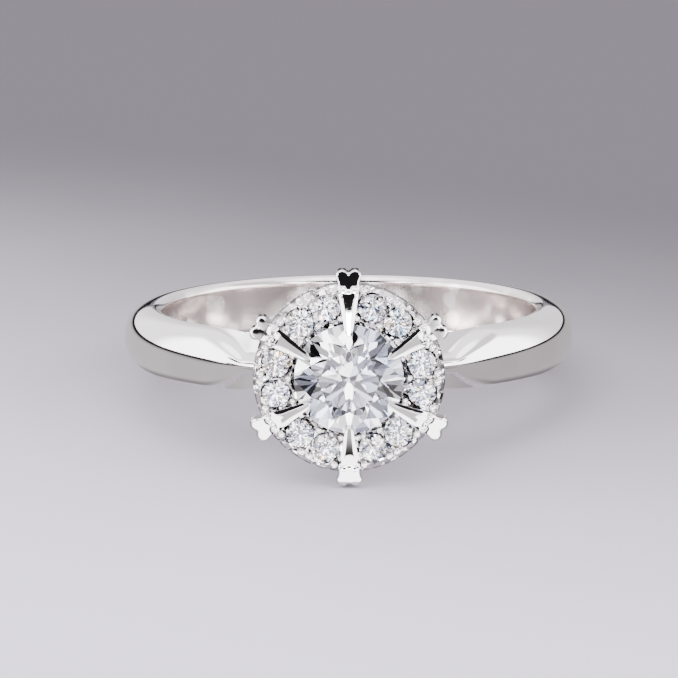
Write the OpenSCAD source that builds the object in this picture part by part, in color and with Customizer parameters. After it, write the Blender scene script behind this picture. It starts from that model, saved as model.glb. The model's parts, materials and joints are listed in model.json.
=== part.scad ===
// Halo ring, in millimetres, lying on its side as it rests by itself.
// A round brilliant stands in six tapering claws with heart-shaped ends, above a
// disc of twelve small brilliants, on a polished shank with pinched shoulders.
// The head faces -Y and +Z is up. The origin is the middle of the underside.

/* [Finger hole] */
// Diameter of the finger hole
hole_d = 17; // [15:0.2:20]

/* [Shank] */
// Thickness of the shank from the finger hole to its crest
shank_t = 1.7; // [1.4:0.1:2]
// Width of the shank at its back, along the finger
shank_w = 2.74; // [2.2:0.1:3.2]
// Fullness of the domed outside: 2 is an ellipse
dome_fullness = 2.25; // [2:0.05:2.8]
// Width of the shoulders along the finger, beside the head
shoulder_w = 2.4; // [2:0.1:2.6]
// Width of the shoulders' dome between its two creases, beside the head
shoulder_dome_w = 1; // [0.8:0.1:1.6]
// Height of the creases above the finger hole, beside the head
shoulder_crease = 0.8; // [0.6:0.05:1]
// Angle from the head where the pinch of the shoulders begins
pinch_start = 43; // [38:1:55]
// Angle from the head where the pinch is full
pinch_end = 28; // [24:1:32]

/* [Halo] */
// Height of the halo's face above the finger hole
halo_rise = 3.8; // [3.7:0.1:4.4]
// Diameter of the halo
halo_d = 8.26; // [8.1:0.05:8.6]
// Thickness of the halo
halo_t = 0.75; // [0.7:0.05:0.9]
// Size of the bevel round the halo's rim
halo_bevel = 0.28; // [0.1:0.02:0.3]

/* [Stones] */
// Diameter of the centre stone
centre_d = 4.7; // [4.5:0.05:4.7]
// Height of the centre stone's girdle above the halo's face
centre_rise = 0.2; // [0.15:0.05:0.5]
// Diameter of each accent stone
accent_d = 1.18; // [1:0.02:1.18]
// Distance of the accent stones from the middle of the head
accent_ring_r = 3.2; // [3.15:0.05:3.25]
// Angle of an accent stone either side of the middle of its pair
accent_spread = 11.5; // [11.4:0.1:11.8]
// Space between a stone and its metal
stone_gap = 0.03; // [0.02:0.01:0.04]

/* [Claws] */
// Distance of the claw tips from the middle of the head
claw_tip_r = 1.97; // [1.85:0.02:2.1]
// Distance of the ridge where the arm meets the heart
claw_ridge_r = 3.88; // [3.7:0.02:3.9]
// Distance of the ends of the hearts
claw_end_r = 4.72; // [4.56:0.02:4.8]
// Width of a claw at its tip
claw_tip_w = 0.28; // [0.16:0.02:0.3]
// Width of a claw at its ridge
claw_ridge_w = 0.94; // [0.8:0.02:1]
// Width of a heart across its lobes
heart_w = 1.12; // [1:0.02:1.2]
// Drop of a heart from its ridge to its end
heart_drop = 0.33; // [0.2:0.05:0.4]

/* [Beads] */
// Diameter of the beads at the halo's rim
rim_bead_d = 0.34; // [0.28:0.02:0.36]
// Diameter of the beads beside the centre stone
inner_bead_d = 0.3; // [0.24:0.02:0.32]

/* [Hidden] */
$fn = 48;

// Cut of a round brilliant, as shares of its diameter
table_share = 0.56;
girdle_share = 0.03;
star_share = 0.5;
lower_half_share = 0.78;
crown_angle = 34.5;
pavilion_angle = 40.8;

// Heights along the head's axis, from the middle of the finger hole
hole_r = hole_d / 2;
halo_top = hole_r + halo_rise;
halo_bottom = halo_top - halo_t;
centre_r = centre_d / 2;
centre_girdle = halo_top + centre_rise;
centre_girdle_top = centre_girdle + girdle_share * centre_r;
accent_r = accent_d / 2;
accent_girdle = halo_top - 0.02;

// The claws clear the steepest line of the centre stone's crown
crown_slope = 0.86;
claw_tip_t = 0.24;
claw_tip_top = centre_girdle_top + (centre_r - claw_tip_r) * crown_slope + stone_gap + claw_tip_t;
claw_ridge_top = halo_top + 0.38;
claw_foot = halo_top - 0.55;

// The base collar joins the claws' roots to the shank
collar_bottom = hole_r + 1;
collar_top = hole_r + 2.05;
collar_outer_r = 1.75;
collar_inner_r = 1;

// The ring rests on the lowest heart and on the lower edge of its back. The
// support of the shank's section in a direction follows from its superellipse.
edge_r = 0.4;
function section_reach(nr, nz) =
    let (q = dome_fullness / (dome_fullness - 1))
    edge_r * nr + pow(pow((shank_t - edge_r) * nr, q) + pow(shank_w / 2 * nz, q), 1 / q);
function next_tilt(a) =
    atan((claw_end_r - section_reach(sin(a), cos(a)) / cos(a)) / (hole_r + claw_foot));
lay_tilt = next_tilt(next_tilt(next_tilt(next_tilt(9))));
lay_lift = claw_end_r * cos(lay_tilt) - claw_foot * sin(lay_tilt);

// Middle of the ring between the centre stone's table and the back of the shank
table_r = table_share * centre_r;
table_top = centre_girdle_top + (centre_r - table_r) * tan(crown_angle);
front_reach = table_top * cos(lay_tilt) + table_r * sin(lay_tilt);
back_reach = hole_r * cos(lay_tilt) + section_reach(cos(lay_tilt), sin(lay_tilt));
lay_shift = (front_reach - back_reach) / 2;

// The ring as it lies, from its own frame with the finger hole upright
module laid() {
    translate([0, lay_shift, lay_lift]) rotate([-lay_tilt, 0, 0]) children();
}

// The head's frame has Z along the head's axis and Y up the face
module on_head() {
    rotate([90, 0, 0]) children();
}

// Upper half of the shank's section as [distance outside the hole, height]: the
// softened inner edge, the side up to the crease, and the dome up to the crest
dome_steps = 7;
function half_section(half_w, dome_half, crease) = concat(
    [[-0.25, half_w - 0.55], [0.07, half_w - 0.21], [0.2, half_w - 0.07], [0.36, half_w]],
    [for (i = [0:dome_steps])
        let (a = 90 * i / dome_steps)
        [crease + (shank_t - crease) * pow(sin(a), 2 / dome_fullness),
            dome_half * pow(max(0, cos(a)), 2 / dome_fullness)]]);

function whole_section(half) =
    concat(half, [for (i = [len(half) - 2:-1:0]) [half[i][0], -half[i][1]]]);

// Section of the shank at an angle from the head, placed round the hole
function shank_ring(a) =
    let (
        away = a > 180 ? 360 - a : a,
        near = min(1, max(0, (pinch_start - away) / (pinch_start - pinch_end))),
        pinch = near * near,
        half_w = (shank_w + (shoulder_w - shank_w) * pinch) / 2,
        dome_half = (shank_w + (shoulder_dome_w - shank_w) * pinch) / 2,
        crease = edge_r + (shoulder_crease - edge_r) * pinch)
    [for (p = whole_section(half_section(half_w, dome_half, crease)))
        [(hole_r + p[0]) * sin(a), -(hole_r + p[0]) * cos(a), p[1]]];

// The shank, swept round the finger hole, which is then bored true
shank_rings = 72;
module shank() {
    rings = [for (k = [0:shank_rings - 1]) shank_ring(360 * k / shank_rings)];
    n = len(rings[0]);
    color("silver") difference() {
        polyhedron(
            points = [for (ring = rings) for (p = ring) p],
            faces = [for (k = [0:shank_rings - 1]) for (i = [0:n - 1])
                let (
                    a = k * n + i,
                    b = k * n + (i + 1) % n,
                    c = (k + 1) % shank_rings * n + (i + 1) % n,
                    d = (k + 1) % shank_rings * n + i)
                each [[a, c, b], [a, d, c]]],
            convexity = 4);
        cylinder(h = 3 * shank_w, r = hole_r, center = true, $fn = 144);
    }
}

// Disc of the halo, with a coned seat for the centre stone
module halo_plate() {
    seat_top_r = centre_r + 2 * stone_gap
        - (centre_rise - girdle_share * centre_r) / tan(pavilion_angle);
    seat_bottom_r = seat_top_r - halo_t / tan(pavilion_angle);
    rim_r = halo_d / 2;
    color("silver") rotate_extrude() polygon([
        [seat_bottom_r, halo_bottom], [rim_r - 0.15, halo_bottom],
        [rim_r, halo_bottom + 0.16], [rim_r, halo_top - halo_bevel],
        [rim_r - halo_bevel, halo_top], [seat_top_r, halo_top]]);
}

// Hole under an accent stone: a seat for its pavilion, open below
module accent_seat() {
    seat_r = accent_r + stone_gap;
    lip = accent_girdle - girdle_share * accent_r - stone_gap;
    open_r = accent_r / 2;
    rotate_extrude() polygon([
        [0, halo_bottom - 1], [open_r, halo_bottom - 1],
        [open_r, lip - (seat_r - open_r) * tan(pavilion_angle)],
        [seat_r, lip], [seat_r, halo_top + 1], [0, halo_top + 1]]);
}

// Accent stones stand in pairs between the claws, counted round from the right
module at_accent(i) {
    pair = floor((i - 1) / 2);
    side = (i - 1) % 2 == 0 ? -1 : 1;
    rotate([0, 0, 60 * pair + side * accent_spread]) translate([accent_ring_r, 0, 0])
        children();
}

// Beads that hold the accent stones, round the halo's rim and beside the centre.
// A rim bead stands diagonally outside its stone.
module beads() {
    aside = (accent_r + rim_bead_d / 2 + 1.5 * stone_gap) * sqrt(0.5);
    rim_place = [accent_ring_r + aside, aside];
    rim_turn = atan(rim_place[1] / rim_place[0]);
    inner_r = centre_r + inner_bead_d / 2 + 0.09;
    inner_turn = 22.5;
    color("silver") for (pair = [0:5]) rotate([0, 0, 60 * pair]) {
        for (side = [-1, 1], turn = [accent_spread - rim_turn, accent_spread + rim_turn])
            rotate([0, 0, side * turn]) translate([norm(rim_place), 0, halo_top])
                sphere(d = rim_bead_d);
        for (turn = [-inner_turn, 0, inner_turn])
            rotate([0, 0, turn]) translate([inner_r, 0, halo_top])
                sphere(d = inner_bead_d);
    }
}

// Half outline of a claw seen from the front, from its tip to the heart's notch,
// as [distance from the middle, half width, drop of the bevel below the face].
// The arm's face narrows to a share of its width, and the heart's by a thin bevel.
lobe_r = heart_w / 4;
lobe_middle_r = claw_end_r - lobe_r;
notch_r = claw_end_r - 0.17;
heart_bevel = 0.07;
function arm_half_w(r) =
    (claw_tip_w + (claw_ridge_w - claw_tip_w)
        * (r - claw_tip_r) / (claw_ridge_r - claw_tip_r)) / 2;
function claw_outline(inset) =
    let (step = centre_r + stone_gap)
    concat(
        [for (arm = [
                // distance, share of the width on the face, drop of the bevel
                [claw_tip_r - 0.05 + inset * 0.05, 0.5, 0.05],
                [claw_tip_r + 0.06, 0.56, 0.08],
                [step, 0.54, 0.16],
                [step + 0.04, 0.54, 0.16],
                [3.1, 0.54, 0.22],
                [3.5, 0.6, 0.24],
                [claw_ridge_r, 0.86, 0.1]])
            [arm[0], arm_half_w(arm[0]) * (1 - inset * (1 - arm[1])), arm[2]]],
        [[claw_ridge_r + 0.2, claw_ridge_w * 0.44 - inset * heart_bevel, heart_bevel]],
        [for (a = [125:-30:-55])
            let (r = lobe_r - inset * heart_bevel)
            [lobe_middle_r + r * cos(a), lobe_r + r * sin(a), heart_bevel]],
        [[notch_r - inset * heart_bevel, 0, heart_bevel]]);

function mirrored(half) =
    concat(half, [for (i = [len(half) - 2:-1:0]) [half[i][0], -half[i][1], half[i][2]]]);

// Height of a claw's face and of its underside at a distance from the middle
function claw_face(r) = r < claw_ridge_r
    ? claw_ridge_top + (claw_tip_top - claw_ridge_top)
        * (claw_ridge_r - r) / (claw_ridge_r - claw_tip_r)
    : claw_ridge_top - heart_drop * (r - claw_ridge_r) / (claw_end_r - claw_ridge_r);
function claw_under(r) = r < centre_r + 1.5 * stone_gap
    ? centre_girdle_top + stone_gap + (centre_r + stone_gap - r) * crown_slope
    : claw_foot;

// A claw: a long arm with bevelled sides, bent down at its ridge into a heart
arm_points = 6;
module claw() {
    outer = mirrored(claw_outline(0));
    inner = mirrored(claw_outline(1));
    n = len(outer);
    last = n - 1;
    notch = last / 2;
    color("silver") polyhedron(
        points = concat(
            [for (p = outer) [p[0], p[1], claw_under(p[0])]],
            [for (p = outer) [p[0], p[1], claw_face(p[0]) - p[2]]],
            [for (p = inner) [p[0], p[1], claw_face(p[0])]]),
        faces = concat(
            [for (i = [0:last]) let (j = (i + 1) % n) [n + i, i, j, n + j]],
            [for (i = [0:last]) let (j = (i + 1) % n)
                each [[2 * n + i, n + i, n + j], [2 * n + i, n + j, 2 * n + j]]],
            // Strips from side to side on the underside and on the face
            [for (i = [0:arm_points - 1]) [i + 1, i, last - i, last - i - 1]],
            [for (i = [0:arm_points - 1])
                [2 * n + i, 2 * n + i + 1, 2 * n + last - i - 1, 2 * n + last - i]],
            // The heart in pieces that spread from the notch and from the ends of the lobes
            [[for (i = [notch:-1:arm_points]) i, for (i = [last - arm_points:-1:notch + 1]) i]],
            [[2 * n + notch - 1, 2 * n + notch, for (i = [arm_points:notch - 2]) 2 * n + i]],
            [[for (i = [notch + 1:last - arm_points]) 2 * n + i, 2 * n + notch]],
            [[2 * n + arm_points, 2 * n + notch, 2 * n + last - arm_points]]));
}
module claw_root() {
    // distance, height, half width and half thickness of each end
    top = [claw_end_r - 0.5, claw_foot + 0.12, 0.36, 0.26];
    foot = [collar_inner_r + 0.3, collar_top - 0.35, 0.3, 0.24];
    run = [top[0] - foot[0], top[1] - foot[1]];
    across = [-run[1], run[0]] / norm(run);
    corners = [for (end = [foot, top]) for (s = [[-1, -1], [1, -1], [1, 1], [-1, 1]])
        [end[0] + across[0] * end[3] * s[1], end[2] * s[0], end[1] + across[1] * end[3] * s[1]]];
    color("silver") polyhedron(points = corners, faces = [
        [0, 1, 2, 3], [7, 6, 5, 4], [0, 4, 5, 1], [1, 5, 6, 2], [2, 6, 7, 3], [3, 7, 4, 0]]);
}

// Collar at the foot of the head, sunk into the shank's crest
module collar() {
    color("silver") translate([0, 0, collar_bottom]) difference() {
        cylinder(h = collar_top - collar_bottom, r = collar_outer_r);
        translate([0, 0, hole_r + shank_t - collar_bottom - 0.1])
            cylinder(h = 2, r = collar_inner_r);
    }
}

// All of the metal, soldered into one solid
module ring_mounting() {
    laid() {
        shank();
        on_head() {
            collar();
            difference() {
                halo_plate();
                for (i = [1:12]) at_accent(i) accent_seat();
            }
            beads();
            for (k = [0:5]) rotate([0, 0, 30 + 60 * k]) {
                claw();
                claw_root();
            }
        }
    }
}

// A round brilliant of radius r, its girdle's middle at height 0
function turned(r, a, z) = [r * cos(a), r * sin(a), z];
module brilliant(r) {
    girdle = girdle_share * r;
    flat_r = table_share * r;
    star_r = flat_r * cos(22.5) + star_share * (r - flat_r * cos(22.5));
    lower_r = (1 - lower_half_share) * r;
    points = concat(
        [for (k = [0:7]) turned(flat_r, 45 * k, girdle + (r - flat_r) * tan(crown_angle))],
        [for (k = [0:7]) turned(star_r, 45 * k + 22.5,
            girdle + (r - star_r * cos(22.5)) * tan(crown_angle))],
        [for (k = [0:15]) turned(r, 22.5 * k, girdle)],
        [for (k = [0:15]) turned(r, 22.5 * k, -girdle)],
        [for (k = [0:7]) turned(lower_r, 45 * k + 22.5,
            -girdle - (r - lower_r * cos(22.5)) * tan(pavilion_angle))],
        [[0, 0, -girdle - r * tan(pavilion_angle)]]);
    star = 8;
    upper = 16;
    under = 32;
    lower = 48;
    culet = 56;
    polyhedron(points = points, faces = concat(
        [[7, 6, 5, 4, 3, 2, 1, 0]],
        [for (k = [0:7]) let (
                next = (k + 1) % 8,
                before = (k + 7) % 8,
                g = 2 * k,
                h = 2 * k + 1,
                i = (2 * k + 2) % 16)
            each [
                [k, next, star + k],
                [k, star + k, upper + g, star + before],
                [star + k, upper + h, upper + g],
                [star + k, upper + i, upper + h],
                [upper + g, upper + h, under + h, under + g],
                [upper + h, upper + i, under + i, under + h],
                [culet, lower + before, under + g, lower + k],
                [under + g, under + h, lower + k],
                [under + h, under + i, lower + k]]]));
}

module centre_stone() {
    color("lightcyan") laid() on_head() translate([0, 0, centre_girdle]) brilliant(centre_r);
}

module accent_stone(i) {
    color("aliceblue") laid() on_head() at_accent(i) translate([0, 0, accent_girdle])
        brilliant(accent_r);
}

ring_mounting();
centre_stone();
for (i = [1:12]) accent_stone(i);
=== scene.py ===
"""Dresses the halo ring and sets it on a pale studio floor.

The metal and the stones are remade here with finer faces than the solids have, from the
same sizes. Their lengths are in millimetres and angles in degrees, as a goldsmith gives
them, and each piece is then laid into the shared frame, in metres. The studio is in metres.
"""

import json
import logging
import random
from collections.abc import Callable
from dataclasses import dataclass
from enum import Enum
from math import asin, atan2, copysign, cos, exp, hypot, pi, radians, sin, sqrt, tan, tanh

import bmesh
import bpy
from bmesh.types import BMEdge, BMesh
from bpy.types import Material, Mesh, Object
from mathutils import Matrix, Vector


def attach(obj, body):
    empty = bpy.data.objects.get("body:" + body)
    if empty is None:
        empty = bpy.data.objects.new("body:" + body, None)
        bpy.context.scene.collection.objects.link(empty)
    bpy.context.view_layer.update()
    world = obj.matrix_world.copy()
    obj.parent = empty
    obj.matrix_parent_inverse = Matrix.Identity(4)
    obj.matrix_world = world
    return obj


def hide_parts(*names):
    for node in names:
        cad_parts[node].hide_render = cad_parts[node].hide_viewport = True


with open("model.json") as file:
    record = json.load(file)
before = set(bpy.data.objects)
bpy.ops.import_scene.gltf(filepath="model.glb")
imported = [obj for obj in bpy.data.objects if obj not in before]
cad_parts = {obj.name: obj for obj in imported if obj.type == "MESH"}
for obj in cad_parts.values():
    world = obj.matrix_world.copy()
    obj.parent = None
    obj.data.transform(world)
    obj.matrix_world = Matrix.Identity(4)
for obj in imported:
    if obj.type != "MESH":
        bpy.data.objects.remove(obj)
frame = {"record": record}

LOG = logging.getLogger("halo_ring")
MILLIMETRE = 0.001
FULL_TURN = 2.0 * pi
SIXTH_TURN = radians(60.0)
Point = tuple[float, float]
Patch = tuple[float, float, float]
Colour = tuple[float, float, float, float]
Stops = tuple[tuple[float, tuple[float, float, float]], ...]


def mix(a: float, b: float, share: float) -> float:
    """The value a share of the way from a to b."""
    return a + (b - a) * share


def share_between(value: float, start: float, end: float) -> float:
    """How far value is from start to end, kept from 0 to 1."""
    return min(1.0, max(0.0, (value - start) / (end - start)))


def eased(share: float) -> float:
    """A share from 0 to 1 with a soft start and end."""
    return share * share * (3.0 - 2.0 * share)


def along(table: tuple[Point, ...], value: float) -> float:
    """Reads a value from a table of rising stations, straight between them.

    Args:
        table: Pairs of station and value.
        value: The station to read at.

    Returns:
        The value there, or the nearest end's.
    """
    for (start, low), (end, high) in zip(table, table[1:]):
        if value <= end:
            return mix(low, high, share_between(value, start, end))
    return table[-1][1]


def polar(reach: float, angle: float, x: float = 0.0, y: float = 0.0) -> Point:
    """The point at a reach and an angle, in radians, from the point x, y."""
    return x + reach * cos(angle), y + reach * sin(angle)


def maths(operation: str, reflected: bool = False) -> Callable[..., "Wire"]:
    """Makes a method of Wire that adds one Math node.

    Args:
        operation: The node's operation.
        reflected: Whether the wire is the last term, as in 1 - wire.

    Returns:
        The method, which takes the other terms and gives the result.
    """

    def method(self: "Wire", *others: "Wire | float") -> "Wire":
        """Adds the node to the wire's graph."""
        terms = (*others, self) if reflected else (self, *others)
        return self.graph.add("ShaderNodeMath", {"operation": operation}, dict(enumerate(terms)))

    return method


class Wire:
    """An output socket of a node, with arithmetic that adds Math nodes."""

    __add__ = maths("ADD")
    __radd__ = maths("ADD", reflected=True)
    __sub__ = maths("SUBTRACT")
    __rsub__ = maths("SUBTRACT", reflected=True)
    __mul__ = maths("MULTIPLY")
    __rmul__ = maths("MULTIPLY", reflected=True)
    __truediv__ = maths("DIVIDE")
    __rtruediv__ = maths("DIVIDE", reflected=True)
    __pow__ = maths("POWER")
    __mod__ = maths("FLOORED_MODULO")
    __gt__ = maths("GREATER_THAN")
    __abs__ = maths("ABSOLUTE")
    sign = maths("SIGN")
    whole = maths("FLOOR")
    sine = maths("SINE")
    cosine = maths("COSINE")
    at_least = maths("MAXIMUM")

    def __init__(self, graph: "Graph", socket: bpy.types.NodeSocket) -> None:
        """Keeps the socket and the graph that it is in."""
        self.graph = graph
        self.socket = socket

    def clamped(self) -> "Wire":
        """Kept from 0 to 1."""
        return self.graph.add("ShaderNodeClamp", {}, {0: self, 1: 0.0, 2: 1.0})

    def eased(self, start: float = 0.0, end: float = 1.0) -> "Wire":
        """The share of the way from start to end, kept from 0 to 1, with a soft start and end."""
        settings = {"interpolation_type": "SMOOTHSTEP"}
        return self.graph.add("ShaderNodeMapRange", settings, {0: self, 1: start, 2: end, 3: 0.0, 4: 1.0})


class Graph:
    """A node tree that is written as expressions, for materials, the world and geometry."""

    def __init__(self, tree: bpy.types.NodeTree) -> None:
        """Keeps the tree."""
        self.tree = tree

    def add(
        self,
        kind: str,
        settings: dict[str, object] | None = None,
        sockets: dict[int | str, object] | None = None,
        output: int | str = 0,
    ) -> Wire:
        """Adds any node.

        Args:
            kind: The node's type.
            settings: Its properties, set first; "stops" holds a ramp's pairs of place and colour.
            sockets: Values or wires for its inputs, by number or name.
            output: The output to give back.

        Returns:
            That output.
        """
        node = self.tree.nodes.new(kind)
        for name, value in (settings or {}).items():
            if name == "stops":
                self._set_stops(node.color_ramp, value)
            else:
                setattr(node, name, value)
        for key, value in (sockets or {}).items():
            if isinstance(value, Wire):
                self.tree.links.new(value.socket, node.inputs[key])
            else:
                node.inputs[key].default_value = value
        return Wire(self, node.outputs[output])

    def finish(self, kind: str, last: Wire) -> None:
        """Adds the output node of this type and links the last wire to it."""
        self.tree.links.new(last.socket, self.tree.nodes.new(kind).inputs[0])

    @staticmethod
    def _set_stops(ramp: bpy.types.ColorRamp, stops: Stops) -> None:
        """Gives a ramp its stops, pairs of place and colour."""
        while len(ramp.elements) < len(stops):
            ramp.elements.new(1.0)
        for element, (place, colour) in zip(ramp.elements, stops):
            element.position = place
            element.color = (*colour, 1.0)

    def colour_mix(self, share: "Wire | float", first: object, second: object) -> Wire:
        """Mixes a share of the second colour into the first; both have alpha, or are wires."""
        return self.add("ShaderNodeMix", {"data_type": "RGBA"}, {0: share, 6: first, 7: second}, 2)

    def vector(self, x: "Wire | float", y: "Wire | float", z: "Wire | float") -> Wire:
        """A vector from its three parts."""
        return self.add("ShaderNodeCombineXYZ", {}, {0: x, 1: y, 2: z})

    def parts(self, vector: Wire) -> tuple[Wire, Wire, Wire]:
        """Takes a vector apart.

        Args:
            vector: The vector.

        Returns:
            Its X, Y and Z.
        """
        first = self.add("ShaderNodeSeparateXYZ", {}, {0: vector})
        outputs = first.socket.node.outputs
        return first, Wire(self, outputs[1]), Wire(self, outputs[2])

    def noise(self, place: Wire, scale: float, detail: float = 2.0) -> Wire:
        """Noise from 0 to 1, with its features to a metre and its octaves."""
        return self.add("ShaderNodeTexNoise", {}, {"Vector": place, "Scale": scale, "Detail": detail})

    def cells(self, place: Wire, scale: float, output: str) -> Wire:
        """One output of a pattern of cells, so many to a metre."""
        return self.add("ShaderNodeTexVoronoi", {}, {"Vector": place, "Scale": scale}, output)

    def attribute(self, name: str) -> Wire:
        """A number that the mesh carries."""
        return self.add("ShaderNodeAttribute", {"attribute_name": name}, output="Fac")

    def bump(self, strength: float, distance: float, height: Wire) -> Wire:
        """The surface's direction where a height bends it."""
        sockets = {"Strength": strength, "Distance": distance, "Height": height}
        return self.add("ShaderNodeBump", {}, sockets)

    def surface_place(self, stretch: tuple[float, float, float] = (1.0, 1.0, 1.0)) -> Wire:
        """Object coordinates, stretched along X, Y and Z."""
        place = self.add("ShaderNodeTexCoord", output="Object")
        return self.add("ShaderNodeVectorMath", {"operation": "MULTIPLY"}, {0: place, 1: stretch})

    @staticmethod
    def across_from(middle: Vector, x: Wire, y: Wire) -> Wire:
        """The level distance from a point."""
        return ((x - middle.x) ** 2.0 + (y - middle.y) ** 2.0) ** 0.5


class Finish(Graph):
    """The node tree of a new material."""

    def __init__(self, name: str) -> None:
        """Makes the material and empties its tree."""
        self.material = bpy.data.materials.new(name)
        self.material.use_nodes = True
        self.material.node_tree.nodes.clear()
        super().__init__(self.material.node_tree)

    def done(self, shader: str, sockets: dict[int | str, object]) -> Material:
        """Ends the tree in this shader and gives the material."""
        self.finish("ShaderNodeOutputMaterial", self.add(shader, {}, sockets))
        return self.material


class Recipe:
    """A Geometry Nodes tree with named inputs, which is turned into a plain mesh."""

    KINDS = {
        int: "NodeSocketInt",
        float: "NodeSocketFloat",
        Object: "NodeSocketObject",
        Material: "NodeSocketMaterial",
    }

    def __init__(self, name: str) -> None:
        """Starts an empty tree for the piece of this name."""
        self.name = name
        self.tree = bpy.data.node_groups.new(f"{name}_recipe", "GeometryNodeTree")
        self.tree.interface.new_socket("Mesh", in_out="OUTPUT", socket_type="NodeSocketGeometry")
        self.graph = Graph(self.tree)
        self.entry = self.tree.nodes.new("NodeGroupInput")
        self.values: dict[str, object] = {}

    def given(self, name: str, value: object) -> Wire:
        """Adds a named input.

        Args:
            name: The input's name.
            value: Its value, which also gives its kind.

        Returns:
            The input's socket inside the tree.
        """
        kind = next(socket for typed, socket in self.KINDS.items() if isinstance(value, typed))
        item = self.tree.interface.new_socket(name, in_out="INPUT", socket_type=kind)
        self.values[item.identifier] = value
        return Wire(self.graph, self.entry.outputs[name])

    def model(self, name: str, mesh: Mesh) -> Wire:
        """A mesh as a named input, on an object that is in no collection and so is no piece."""
        carrier = bpy.data.objects.new(mesh.name, mesh)
        return self.graph.add("GeometryNodeObjectInfo", {}, {0: self.given(name, carrier)}, "Geometry")

    def round_head(self, count: int, turn: Wire, model: Wire, at: Wire | None = None) -> Wire:
        """Sets copies of a mesh round the head.

        Args:
            count: How many.
            turn: Each copy's turn about the head's axis, in radians.
            model: The mesh that is copied.
            at: Where each copy goes, or none for the middle.

        Returns:
            The copies as instances.
        """
        add = self.graph.add
        points = add("GeometryNodePoints", {}, {0: self.given("Count", count)})
        if at is not None:
            points = add("GeometryNodeSetPosition", {}, {0: points, 2: at})
        spin = self.graph.vector(0.0, 0.0, turn)
        sockets = {"Points": points, "Instance": model, "Rotation": spin}
        return add("GeometryNodeInstanceOnPoints", {}, sockets)

    def finished(self, mesh: Wire, lie: "Lie", upright: float, material: Material) -> Object:
        """Lays the mesh into the shared frame and makes it a plain mesh.

        Args:
            mesh: The geometry, in millimetres.
            lie: How the ring lies.
            upright: The turn about X from the piece's own frame to the ring's.
            material: Its finish.

        Returns:
            The piece, at the origin.
        """
        add, vector = self.graph.add, self.graph.vector
        turn = self.given("Turn about X", radians(upright) - lie.tilt)
        deep = self.given("Middle of the hole Y", float(lie.hole.y))
        high = self.given("Middle of the hole Z", float(lie.hole.z))
        sockets = {
            "Geometry": add("GeometryNodeRealizeInstances", {}, {0: mesh}),
            "Translation": vector(0.0, deep, high),
            "Rotation": vector(turn, 0.0, 0.0),
            "Scale": (MILLIMETRE, MILLIMETRE, MILLIMETRE),
        }
        laid = add("GeometryNodeTransform", {}, sockets)
        dressed = add("GeometryNodeSetMaterial", {}, {0: laid, "Material": self.given("Finish", material)})
        self.graph.finish("NodeGroupOutput", dressed)
        piece = placed(self.name, bpy.data.meshes.new(f"{self.name}_blank"))
        modifier = piece.modifiers.new("Recipe", "NODES")
        modifier.node_group = self.tree
        for identifier, value in self.values.items():
            modifier[identifier] = value
        ready = bpy.context.evaluated_depsgraph_get()
        plain = bpy.data.meshes.new_from_object(piece.evaluated_get(ready), depsgraph=ready)
        piece.modifiers.clear()
        piece.data = plain
        plain.name = self.name
        outward(plain)
        return piece


class Shading(Enum):
    """How the faces of a piece meet, by the angle past which an edge shows."""

    POLISHED = radians(38.0)
    FACETED = 0.0


def shade(mesh: Mesh, shading: Shading) -> None:
    """Shades a mesh smooth up to its sharp edges, or flat on each facet.

    Args:
        mesh: The mesh.
        shading: Polished metal or flat facets.
    """
    if shading is Shading.FACETED:
        mesh.shade_flat()
    else:
        mesh.shade_smooth()
        mesh.set_sharp_from_angle(angle=shading.value)


def outward(mesh: Mesh) -> None:
    """Welds a mesh of metal, turns its faces outwards and shades it.

    Args:
        mesh: A closed mesh in metres.
    """
    work = bmesh.new()
    work.from_mesh(mesh)
    bmesh.ops.remove_doubles(work, verts=work.verts, dist=1e-8)
    bmesh.ops.dissolve_degenerate(work, edges=work.edges, dist=1e-9)
    bmesh.ops.recalc_face_normals(work, faces=work.faces)
    work.to_mesh(mesh)
    work.free()
    shade(mesh, Shading.POLISHED)


def mesh_of(name: str, work: BMesh) -> Mesh:
    """Turns a bmesh into a mesh.

    Args:
        name: The mesh's name.
        work: What it is made from, which is freed.

    Returns:
        The mesh.
    """
    mesh = bpy.data.meshes.new(name)
    work.to_mesh(mesh)
    work.free()
    return mesh


def placed(name: str, data: bpy.types.ID) -> Object:
    """Puts an object in the scene.

    Args:
        name: The object's name.
        data: Its mesh, light or camera.

    Returns:
        The object, at the origin.
    """
    thing = bpy.data.objects.new(name, data)
    bpy.context.collection.objects.link(thing)
    return thing


def turned(work: BMesh, profile: list[Point], sides: int) -> None:
    """Turns a closed profile about Z.

    Args:
        work: The mesh that it is added to.
        profile: Corners as distance and height. One on the axis has distance 0.
        sides: Steps round the axis.
    """
    rings = []
    for k in range(sides):
        a = FULL_TURN * k / sides
        rings.append([work.verts.new((*polar(r, a), z)) for r, z in profile])
    for k, ring in enumerate(rings):
        after = rings[(k + 1) % sides]
        for i in range(len(profile)):
            j = (i + 1) % len(profile)
            if profile[i][0] > 0.0 or profile[j][0] > 0.0:
                work.faces.new((ring[i], after[i], after[j], ring[j]))
    bmesh.ops.remove_doubles(work, verts=work.verts, dist=1e-6)
    bmesh.ops.recalc_face_normals(work, faces=work.faces)


@dataclass(frozen=True)
class Lie:
    """How the ring lies: its tilt about X, and the middle of the finger hole in metres."""

    tilt: float
    hole: Vector

    @classmethod
    def of_record(cls, record: dict) -> "Lie":
        """Reads it from the record's finger hole."""
        hole = next(mount for mount in record["mounts"] if mount["name"] == "finger_hole")
        return cls(asin(hole["axis"][1]), Vector(hole["pos_m"]))

    def head(self) -> Matrix:
        """From the head's frame, in millimetres, to the shared one, in metres."""
        turn = Matrix.Rotation(radians(90.0) - self.tilt, 4, "X")
        return Matrix.Translation(self.hole) @ turn @ Matrix.Scale(MILLIMETRE, 4)


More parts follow.
